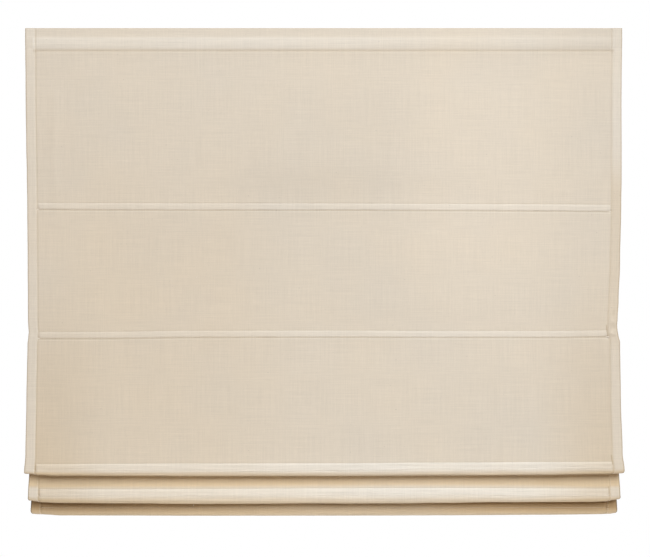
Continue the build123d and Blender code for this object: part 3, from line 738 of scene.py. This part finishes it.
def linen():
    """The blind's cloth: plain weave of slubby yarn, paler where a hem or pocket doubles it, with painted
    lighting and shade in its colour.
    """
    f = Finish("linen", (0.69, 0.60, 0.475), Roughness=0.88, Specular_IOR_Level=0.22, Sheen_Weight=0.18,
               Sheen_Roughness=0.45, Sheen_Tint=(1.0, 0.95, 0.88, 1.0))
    u, v = f.cloth()
    doubled, painted_creases = doubled_share(u, v), painted_crease_shade(u, v)
    plane = f.spread(u, v)
    weft = f.drawn(plane, (14, 620, 1), 2)
    warp = f.drawn(plane, (560, 12, 1), 2)
    fine_weft = f.drawn(plane, (60, 1900, 1), 1)
    fine_warp = f.drawn(plane, (1900, 60, 1), 1)
    slub = f.drawn(plane, (38, 520, 1), 0).step(0.74, 0.86)
    nep = f.drawn(plane, (210, 330, 1), 0).step(0.83, 0.9)
    cloud = f.noise(plane, scale=7.0, detail=2)
    yarn = (weft - 0.5) * 0.15 + (warp - 0.5) * 0.12 + (fine_weft - 0.5) * 0.1 + (fine_warp - 0.5) * 0.1
    streak = f.drawn(plane, (10, 480, 1), 2, roughness=0.6) - 0.5

    across, down = abs(u), v * -1
    hems = across.step(0.4826, 0.4838)
    # Painted light: a pool of light right of the middle of the upper panels.
    painted_light = (u - 0.27).near(0.03, 0.2) * (1 - down.step(0.3, 0.75)) * (0.055 - v.step(-0.13, -0.03) * 0.033)
    # Painted shade of a shallow hollow just above the first pocket, left of the middle.
    painted_hollow_shade = (u + 0.04).near(0.04, 0.19) * (v + 0.262).near(0.01, 0.07) * 0.026
    # Painted shade: darker and warmer towards both sides lower down the cloth, outside the hems.
    corner = across.step(0.34, 0.47) * down.step(0.35, 0.75) * (1 - hems)
    # Painted shadow on the rearmost fold where the fold above overhangs it: darker, warmer and browned, more
    # so towards both sides.
    painted_rear_fold_shadow = down.step(1.14, 1.166) * (1 - down.step(1.173, 1.189))
    painted_shadow_brown = painted_rear_fold_shadow * (0.35 + across.step(0.05, 0.4) * 0.55)
    painted_rear_fold_shadow = painted_rear_fold_shadow * (1 + (u * -1).step(0.1, 0.4) * 0.9 + u.step(0.15, 0.45) * 0.6)
    # Painted shade on the turned-under lower edges of the three stacked folds: darker and warmer.
    painted_rim_shade = 0
    for seam in seam_v[2:]:
        painted_rim_shade = painted_rim_shade + down.step(seam - 0.002, seam + 0.008) * (1 - down.step(seam + 0.022, seam + 0.034))
    # Painted shadow and painted light on the fourth fold's face just above its pocket, under the third fold's
    # edge: warmer, and lighter towards the middle.
    above = down.step(0.909, 0.93) * (1 - down.step(0.939, 0.947))
    right_hem = hems * down.step(0.2, 0.28) * (1 - down.step(0.5, 0.56) * 0.4) * u.step(0.3, 0.45)
    # Painted shade along the outer side edges, stronger low down, and along the top edge: darker and warmer.
    edges = across.step(0.4976, 0.4996) * (0.6 + down.step(0.7, 0.78)) + v.step(-0.0016, -0.0004) * 0.9

    # Painted light: the tone is brightest a little right of the middle and falls off towards both sides and
    # towards the bottom; the painted masks above add their light and shade to the yarn's and the cloth's own
    # tone.
    tone = 1.012 - (u - 0.2) ** 2 * 0.075 - down.step(0.4, 0.65) * 0.012 + yarn + (cloud - 0.5) * 0.1
    tone = tone + painted_light - painted_hollow_shade - corner * 0.03 - painted_rear_fold_shadow * 0.17 - painted_rim_shade * 0.05
    tone = tone + above * (0.13 - across.step(0.2, 0.42) * 0.1) - right_hem * 0.035 - edges * 0.15
    tone = tone - v.step(-0.06, -0.03) * u.step(0.3, 0.47) * 0.05
    tone = tone + streak * doubled * 0.28 + slub * 0.035 - nep * 0.14 - painted_creases * 0.13
    # Warmth: a random cloudy tone, warmer zones to the left and lower down and on the right hem, and the warm
    # colour of the painted shade in the creases, corners, rearmost fold, turned edges, shaded zone above the
    # fourth pocket and outer edges.
    warmth_and_painted_shade = (cloud - 0.3) * 0.3 + painted_creases * 0.3 + corner * 0.35 + painted_rear_fold_shadow * 0.8
    warmth_and_painted_shade = warmth_and_painted_shade + painted_rim_shade * 0.6 + above * 0.85 + edges * 0.4 + right_hem * 0.3
    warmth_and_painted_shade = warmth_and_painted_shade + (u * -1).step(-0.15, 0.5) * (0.03 + down.step(0.08, 0.3) * 0.08)
    warmth_and_painted_shade = warmth_and_painted_shade + (u + 0.25).near(0.05, 0.24) * down.step(0.2, 0.45) * 0.11
    colour = f.blend(doubled, (0.70, 0.628, 0.513), (0.80, 0.752, 0.655))
    colour = f.blend(warmth_and_painted_shade, colour, (0.66, 0.52, 0.335))
    # Painted shadow: the brown of the rearmost fold.
    colour = f.blend(painted_shadow_brown, colour, (0.6, 0.4, 0.2))
    f.feed("Base Color", f.shade(colour, tone))

    pick = 2 * math.pi / 0.00062
    over = (u * pick).sine() * (v * pick).sine()
    height = over * 0.5 + weft * 0.9 + warp * 0.8 + slub * 1.2 + fine_weft * 0.6 + fine_warp * 0.6
    f.feed("Roughness", 0.84 + (weft - 0.5) * 0.12)
    f.bump(height, 0.00012, 0.55)
    return f.material


def pocket_tape():
    """The thin tape of the rod pockets: an even plain weave, a little paler than the cloth."""
    f = Finish("pocket_tape", (0.72, 0.65, 0.54), Roughness=0.82, Specular_IOR_Level=0.25, Sheen_Weight=0.12)
    u, v = f.cloth()
    plane = f.spread(u, v)
    weft = f.drawn(plane, (30, 1500, 1), 1)
    warp = f.drawn(plane, (1500, 30, 1), 1)
    f.feed("Base Color", f.shade(f.blend(warp, (0.70, 0.63, 0.52), (0.76, 0.69, 0.58)), 0.94 + weft * 0.12))
    pick = 2 * math.pi / 0.0005
    f.bump((u * pick).sine() * (v * pick).sine() + weft + warp, 0.0001, 0.5)
    return f.material


def sewing_thread():
    """Spun sewing thread with a soft shine."""
    f = Finish("sewing_thread", (0.74, 0.67, 0.55), Roughness=0.6, Specular_IOR_Level=0.35, Sheen_Weight=0.2)
    grain = f.noise(f.place(), scale=1600, detail=2)
    f.feed("Base Color", f.blend(grain, (0.66, 0.58, 0.46), (0.78, 0.71, 0.6)))
    f.bump(grain, 0.00008, 0.6)
    return f.material


def braided_cord():
    """The lift cords' braid: two sets of strands that wind opposite ways."""
    f = Finish("braided_cord", (0.8, 0.78, 0.73), Roughness=0.62, Specular_IOR_Level=0.35, Sheen_Weight=0.15)
    turn, length = f.cloth()
    one = (turn * (8 * math.pi) + length * 5200).sine()
    other = (turn * (8 * math.pi) - length * 5200).sine()
    strands = one.maths("MAXIMUM", one, other)
    f.feed("Base Color", f.blend(strands.step(-0.6, 0.9), (0.58, 0.55, 0.5), (0.84, 0.82, 0.77)))
    f.bump(strands, 0.00012, 0.7)
    return f.material


def strip(name, low, high, scale):
    """A hook or loop strip: a dense pile of tiny dark and pale spots."""
    f = Finish(name, high, Roughness=0.9, Sheen_Weight=0.25)
    pile = f.noise(f.place(), scale=scale, detail=3, roughness=0.7)
    f.feed("Base Color", f.blend(pile.step(0.35, 0.65), low, high))
    f.bump(pile, 0.0004, 0.8)
    return f.material


def rail_metal():
    """The extruded rail: satin anodised, with faint die lines along it and handling marks."""
    f = Finish("rail_metal", (0.56, 0.565, 0.565), Metallic=1.0, Roughness=0.36, Specular_IOR_Level=0.5)
    lines = f.drawn(f.place(), (3, 900, 900), 2)
    marks = f.noise(f.place(), scale=22, detail=4, roughness=0.6)
    f.feed("Base Color", f.blend(marks, (0.5, 0.505, 0.51), (0.6, 0.6, 0.595)))
    f.feed("Roughness", 0.27 + lines * 0.12 + marks * 0.1)
    f.bump(lines, 0.00004, 0.5)
    return f.material


def plated(name, dark, pale, rough, spangle=380):
    """Zinc-plated or rolled steel: a faint spangle, dull patches and fine rolling lines."""
    f = Finish(name, pale, Metallic=1.0, Roughness=rough)
    crystal = f.node("TexVoronoi", {"feature": "F1"}, {"Vector": f.place(), "Scale": spangle}, output="Color")
    grey = f.node("RGBToBW", inputs={0: crystal})
    dull = f.noise(f.place(), scale=45, detail=4, roughness=0.6)
    rolled = f.drawn(f.place(), (25, 1400, 1400), 1)
    f.feed("Base Color", f.blend(grey * 0.5 + dull * 0.5, dark, pale))
    f.feed("Roughness", rough - 0.08 + dull * 0.16 + grey * 0.05)
    f.bump(rolled + grey * 0.4, 0.00003, 0.45)
    return f.material


def glass_rib():
    """The ribs: glass strands drawn along the length under clear resin."""
    f = Finish("glass_rib", (0.74, 0.74, 0.6), Roughness=0.3, Coat_Weight=0.35, Coat_Roughness=0.12)
    strands = f.drawn(f.place(), (6, 1600, 1600), 3)
    f.feed("Base Color", f.blend(strands, (0.62, 0.63, 0.48), (0.84, 0.84, 0.74)))
    f.bump(strands, 0.00005, 0.5)
    return f.material


def moulded(name, low, high, rough, **more):
    """Injection-moulded plastic: fine mould grain, slow drift of tone and gloss."""
    f = Finish(name, high, Roughness=rough, **more)
    drift = f.noise(f.place(), scale=60, detail=2)
    texture = f.noise(f.place(), scale=2600, detail=2)
    f.feed("Base Color", f.blend(drift * 0.7 + texture * 0.3, low, high))
    f.feed("Roughness", rough - 0.07 + drift * 0.14)
    f.bump(texture, 0.00003, 0.5)
    return f.material


cloth = linen()
tape = pocket_tape()
thread = sewing_thread()
braid = braided_cord()
zinc = plated("zinc_plate", (0.42, 0.43, 0.45), (0.57, 0.58, 0.59), 0.38)
bar_steel = plated("bar_steel", (0.48, 0.49, 0.5), (0.64, 0.65, 0.66), 0.42, 150)
spring_steel = plated("spring_steel", (0.3, 0.33, 0.38), (0.46, 0.49, 0.54), 0.28, 90)
rib_resin = glass_rib()
white_plastic = moulded("white_plastic", (0.76, 0.75, 0.715), (0.83, 0.82, 0.79), 0.46)
grey_plastic = moulded("grey_plastic", (0.42, 0.43, 0.44), (0.5, 0.51, 0.52), 0.5)
spool_plastic = moulded("spool_plastic", (0.66, 0.67, 0.67), (0.76, 0.77, 0.77), 0.3, Coat_Weight=0.2)
milky_plastic = moulded("milky_plastic", (0.76, 0.76, 0.72), (0.85, 0.85, 0.82), 0.24, Coat_Weight=0.3,
                        Transmission_Weight=0.18)

kept = {
    "headrail": rail_metal(),
    "hook_strip": strip("hook_strip", (0.5, 0.49, 0.46), (0.8, 0.79, 0.75), 1500),
    "loop_strip": strip("loop_strip", (0.62, 0.6, 0.56), (0.84, 0.82, 0.78), 900),
    "lever_rivets": zinc, "bracket_left": zinc, "bracket_right": zinc, "drive_shaft": zinc,
    "bottom_bar": bar_steel, "spring_band": spring_steel,
    "motor_case": grey_plastic, "motor_cover": grey_plastic,
    "output_drum": spool_plastic, "storage_drum": spool_plastic,
    "cord_spool_left": spool_plastic, "cord_spool_right": spool_plastic,
    "latch_lever_left": white_plastic, "latch_lever_right": white_plastic,
    "end_cap_left": white_plastic, "end_cap_right": white_plastic, "bar_caps": white_plastic,
    "spool_cradle_left": white_plastic, "spool_cradle_right": white_plastic,
    "cord_anchors": milky_plastic,
    **{f"ring_pair_{n}": milky_plastic for n in range(1, 5)},
}
for node, finish in kept.items():
    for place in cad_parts[node].material_slots:
        place.material = finish

# The cloth's pieces
body_of_fold = ("headrail", "fold_2", "fold_3", "fold_4", "fold_5", "bottom_bar")


def pocket_stitches(front, seam):
    """Both lines of stitches of a rod pocket, on the front."""
    return [sewn(front, stitch_u, seam - line) for line in pocket_lines]


top = build("cloth_top", [flat_cloth(hung, 0.0, first_seam), *pocket_stitches(hung, first_seam),
                          sewn(hung, stitch_u, top_stitches), *hem_stitches(hung, 0.0, first_seam)],
            [cloth, thread])
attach(top, "headrail")
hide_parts("top_cloth")

for n in (2, 3):
    start, end = seam_v[n - 2], seam_v[n - 1]
    panel = build(f"cloth_panel_{n}", [flat_cloth(hung, start, end), *pocket_stitches(hung, end),
                                       *hem_stitches(hung, start, end)], [cloth, thread])
    body_of_fold[n - 2]
    body_of_fold[n - 1]
    seam_z[n - 2] - 0.002
    seam_z[n - 2] - half_panel
    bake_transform(panel)
    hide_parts(f"fold_back_{n - 1}", f"fold_face_{n}")

turned_share = spaced((0, 0.34, 34), (0.34, 0.72, 14), (0.72, 1, 26))
for n, travel in travels.items():
    front = turned(n, travel)
    seam = seam_v[n - 1]
    bent = curved_cloth(front, seam + half_panel * turned_share, layers(columns))
    turn = build(f"cloth_turn_{n}", [bent, *hem_stitches(front, seam, seam + half_panel)], [cloth, thread])
    low, high = climb_ends(travel)
    reach = (high - low) / (1 + climb_slant ** 2)
    begin = np.array([0, seam_y[n - 1] + low, seam_z[n - 1]])
    finish_at = begin + reach * np.array([0, 1, climb_slant])
    body_of_fold[n - 1]
    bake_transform(turn)
    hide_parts(f"fold_back_{n}")

for n in (4, 5):
    front = fold_face(n)
    seam = seam_v[n - 1]
    row = seam - half_panel
    face = build(f"cloth_face_{n}", [flat_cloth(front, row, seam), *pocket_stitches(front, seam),
                                     *hem_stitches(front, row, seam)], [cloth, thread])
    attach(face, body_of_fold[n - 1])
    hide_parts(f"fold_face_{n}")
    f"cloth_turn_{n - 1}"


def hem_outline(share, closed):
    """The bottom hem's outline at a share round it, from its top down the front and up the back.

    A line through named corners, rounded by averaging; closed, from 0 to 1, presses it flat.
    """
    front, back = bar_y - 0.0015, bar_y + hem_back
    low = hem_top - hem_drop
    path = np.array([(bar_y, hem_top), (front, hem_top - 0.0026), (front, low + 0.0011),
                     (front + 0.0012, low), (back - 0.0012, low), (back, low + 0.0011),
                     (back, hem_top - 0.0026), (bar_y + 0.0008, hem_top)])
    flat = path.copy()
    flat[:, 0] = np.array([0, 0, 0, 0.3, 1.3, 1.6, 1.6, 1.6]) * 0.001 + bar_y
    length = run_along(path)
    length /= length[-1]
    places = [share + d for d in (-0.012, -0.006, 0, 0.006, 0.012)]
    y_round, z_round = (np.mean([np.interp(p, length, path[:, k]) for p in places], axis=0) for k in (0, 1))
    y_flat = np.interp(share, length, flat[:, 0])
    return y_round * (1 - closed) + y_flat * closed, z_round


def hem_front(u, v):
    """The bottom hem: its outline carried across, pressed flat at the side hems.

    Random puckers lie along its seam, and it sags in the middle by a bell.
    """
    u, v = together(u, v)
    share = (v - hem_v) / hem_cloth
    closed = smooth(np.abs(u), 0.4782, 0.4826)
    y, z = hem_outline(share, closed)
    pucker = 0.0002 * rumple(u, v, 95, 0.008, 0.02) * bell(share, 0.03, 0.08) * (1 - closed)
    sag = 0.0012 * bell(u, 0.0, 0.3)
    return np.stack([drawn_in(u, 0.8, -0.8), y - pucker, z - sag * 0.5], -1)


hem_share = spaced((0, 0.1, 10), (0.1, 0.36, 10), (0.36, 0.64, 24), (0.64, 0.9, 10), (0.9, 1, 10))
hem = build("cloth_hem", [curved_cloth(hem_front, hem_v + hem_cloth * hem_share, 0.0005),
                          sewn(hem_front, stitch_u, hem_v + hem_cloth * 0.045)], [cloth, thread])
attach(hem, "bottom_bar")
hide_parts("bottom_hem")

# Pockets and ribs behind the cloth
strip_end = np.array([0.4827, 0.4822, 0.481])
strip_columns = np.concatenate([-strip_end, np.linspace(-0.478, 0.478, 150), strip_end[::-1]])
strip_lip = np.array([0, 0.03, 0.06, 0.09, 0.13, 0.17, 0.21, 0.25, 0.35])
strip_share = np.concatenate([strip_lip, [0.5], 1 - strip_lip[::-1]])


def pocket_back(n):
    """The rear face of pocket n's strip."""

    def surface(u, v):
        """Two flat lips on the cloth and a raised back between them, by smooth steps of the height."""
        u, v = together(u, v)
        share = np.clip((seam_v[n - 1] - v) / pocket_height, 0, 1)
        raised = smooth(share, 0.07, 0.24) * (1 - smooth(share, 0.76, 0.93))
        y = seam_y[n - 1] + 0.00095 + 0.0022 * raised + 0.00012 * rumple(u, v, 100 + n, 0.011, 0.01) * raised
        z = seam_z[n - 1] + pocket_height * share + seam_shift(n, u)
        return np.stack([u, y, z], -1)

    return surface


for n in range(1, 6):
    rear = pocket_back(n)
    u_grid, v_grid = np.meshgrid(strip_columns, seam_v[n - 1] - pocket_height * strip_share)
    outer = rear(u_grid, v_grid)
    inner = outer - np.array([0, 0.0003, 0])
    strip_cloth = shell(outer, inner, np.stack([u_grid, -v_grid], -1))
    lines = [sewn(rear, stitch_u, seam_v[n - 1] - line, lean=-1.0) for line in pocket_lines]
    pocket = build(f"pocket_strip_{n}", [strip_cloth, *lines], [tape, thread])
    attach(pocket, body_of_fold[n - 1])
    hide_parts(f"rod_pocket_{n}")


def rib_bar(n):
    """A rib: a section carried along the pocket, narrowing by a quarter circle at each end.

    The section is a circle whose cosine and sine are raised to powers that square off its corners.
    """
    reach, half_height, half_thickness, sides = 0.4775, 0.0045, 0.001, 24
    angle = np.arange(sides) * 2 * math.pi / sides
    toward = np.linspace(1, 0, 9)
    nose = np.sqrt(np.clip(1 - toward ** 2, 0.02, 1))
    nose_x = half_height * (1 - toward) - reach
    x = np.concatenate([nose_x, np.linspace(-0.47, 0.47, 40), -nose_x[::-1]])
    size = np.concatenate([nose, np.ones(40), nose[::-1]])
    section_y = half_thickness * np.sign(np.cos(angle)) * np.abs(np.cos(angle)) ** 0.5
    section_z = half_height * np.sign(np.sin(angle)) * np.abs(np.sin(angle)) ** 0.45
    y = seam_y[n - 1] + 0.0012 + section_y[None] * np.ones(len(x))[:, None]
    z = seam_z[n - 1] + pocket_height / 2 + seam_shift(n, x)[:, None] + section_z[None] * size[:, None]
    points = np.stack([np.broadcast_to(x[:, None], y.shape), y, z], -1).reshape(-1, 3)
    return points, bar_quads(len(x), sides), np.zeros((len(points), 2))


for n in range(1, 6):
    rib = build(f"rib_bar_{n}", [rib_bar(n)], [rib_resin])
    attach(rib, body_of_fold[n - 1])
    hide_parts(f"rib_{n}")

# Lift cords
ring_z = [seam_z[n - 1] + half_panel - ring_drop for n in (2, 3, 4, 5)]
anchor_y, anchor_z = bar_y + hem_back + 0.00225, hem_top - 0.004


def joined(corners, count):
    """A cord's line: straight between corners, softened by averaging over up to 4 mm each way."""
    corners = np.array(corners)
    length = run_along(corners)
    share = np.linspace(0, length[-1], count)
    soft = np.linspace(-1, 1, 9)[:, None] * np.minimum(np.minimum(share, length[-1] - share), 0.004)[None]
    return np.stack([np.interp(share[None] + soft, length, corners[:, k]).mean(0) for k in range(3)], -1)


for side, name in ((-1, "left"), (1, "right")):
    x = side * cord_x
    angle = np.linspace(0, winding_turns * 2 * math.pi, winding_turns * 28 + 1)
    winding = np.stack([x + winding_length * (angle / angle[-1] - 0.5),
                        shaft_y - winding_radius * np.cos(angle),
                        shaft_z + winding_radius * np.sin(angle)], -1)
    turns = build(f"cord_turns_{name}", [tube(winding, cord_radius, 6)], [braid])
    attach(turns, "drive_shaft")
    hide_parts(f"lift_cord_{name}")
    first = (x + winding_length / 2, shaft_y - winding_radius, shaft_z)
    rings = [(x, seam_y[n - 1] + ring_y, z) for n, z in zip((2, 3, 4, 5), ring_z)]
    rings[0] = (x, rings[0][1] + 0.0012, rings[0][2])
    stops = [first, *rings, (x, anchor_y, anchor_z + 0.006)]
    for k in range(5):
        corners = [stops[k], stops[k + 1]] + ([(x, anchor_y, anchor_z - 0.0055)] if k == 4 else [])
        line = joined(corners, 30 if k < 2 else 22)
        run = build(f"cord_run_{name}_{k + 1}", [tube(line, cord_radius, 8)], [braid])
        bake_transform(run)

# Threads that hold the rings
for n, z in zip((2, 3, 4, 5), ring_z):
    loops = []
    for side in (-1, 1):
        for k in range(5):
            angle = np.append(np.arange(18) * math.pi / 9, 0.0)
            slant = 0.0003 * math.sin(k * 2.1)
            x = side * cord_x + (k - 2) * 0.00042 + slant * np.sin(angle)
            y = seam_y[n - 1] + 0.00175 + 0.00135 * np.cos(angle)
            loops.append(tube(np.stack([x, y, z + 0.0012 * np.sin(angle)], -1), 0.00016, 6))
    tie = build(f"ring_ties_{n - 1}", loops, [thread])
    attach(tie, body_of_fold[n - 1])

# Stage, lamps and camera
world = bpy.data.worlds.new("soft_room")
bpy.context.scene.world = world
world.use_nodes = True
surround = Nodes(world.node_tree)
room = surround.tree.nodes["Background"]
room.inputs["Color"].default_value = (1.0, 0.55, 0.24, 1)
room.inputs["Strength"].default_value = 0.15
seen = surround.node("Background", inputs={"Color": (1, 1, 1, 1), "Strength": 1.0})
ray = surround.node("LightPath")
either = ray.maths("MAXIMUM", ray, ray.part("Is Glossy Ray"))
shown = ray.maths("MAXIMUM", either, ray.part("Is Transmission Ray"))
mixed = surround.node("MixShader", inputs={0: shown, 1: Value(surround, room.outputs[0]), 2: seen})
surround.show(mixed, "World")

floor_finish = Finish("pale_floor", (0.78, 0.76, 0.73), Roughness=0.9)
spot = floor_finish.place()
far = floor_finish.node("VectorMath", {"operation": "LENGTH"}, {0: spot}, output="Value").step(0.55, 0.72)
ray = floor_finish.node("LightPath")
shown = ray.maths("MAXIMUM", ray, ray.part("Is Glossy Ray"))
white = floor_finish.node("Emission", inputs={"Strength": 1.0})
plain = Value(floor_finish, floor_finish.shader.outputs[0])
floor_finish.show(floor_finish.node("MixShader", inputs={0: shown * (0.35 + far * 0.65), 1: plain, 2: white}))
edge = np.array([-0.9, 0.9])
floor_points = np.array([(x, y, 0.0) for y in edge for x in edge])
floor_square = (floor_points, np.array([[0, 1, 3, 2]]), floor_points[:, :2])
floor = build("floor", [floor_square], [floor_finish.material])
floor.location.z = -1.25


def lamp(name, place, aim, size, power, colour):
    """A soft square lamp at a place, turned to its aim, that no camera sees."""
    data = bpy.data.lights.new(name, "AREA")
    data.size, data.energy, data.color = size, power, colour
    made = bpy.data.objects.new(name, data)
    made.location = place
    made.rotation_euler = (Vector(aim) - made.location).to_track_quat("-Z", "Y").to_euler()
    made.visible_camera = False
    made.visible_glossy = not name.startswith("rear")
    bpy.context.scene.collection.objects.link(made)


lamp("key", (0.9, -5.4, 3.7), (0.0, 0, -0.4), 3.8, 530, (0.94, 1.005, 1.085))
lamp("fill", (-1.9, -1.7, 0.1), (0, 0, -0.45), 1.4, 2.4, (1.0, 0.85, 0.68))
lamp("rear_left", (-1.9, 1.9, 0.7), (0, 0, -0.4), 1.8, 52, (1.0, 0.99, 0.98))
lamp("rear_right", (1.9, 1.9, 0.7), (0, 0, -0.4), 1.8, 52, (1.0, 0.99, 0.98))

camera_data = bpy.data.cameras.new("photo_view")
camera_data.sensor_width = 36
camera_data.lens = 44.69
camera = bpy.data.objects.new("photo_view", camera_data)
camera.location = (0.0025, -1.375, -0.4208)
camera.rotation_euler = (math.pi / 2, 0, 0)
bpy.context.scene.collection.objects.link(camera)
bpy.context.scene.camera = camera
bpy.context.scene.view_settings.view_transform = "Standard"
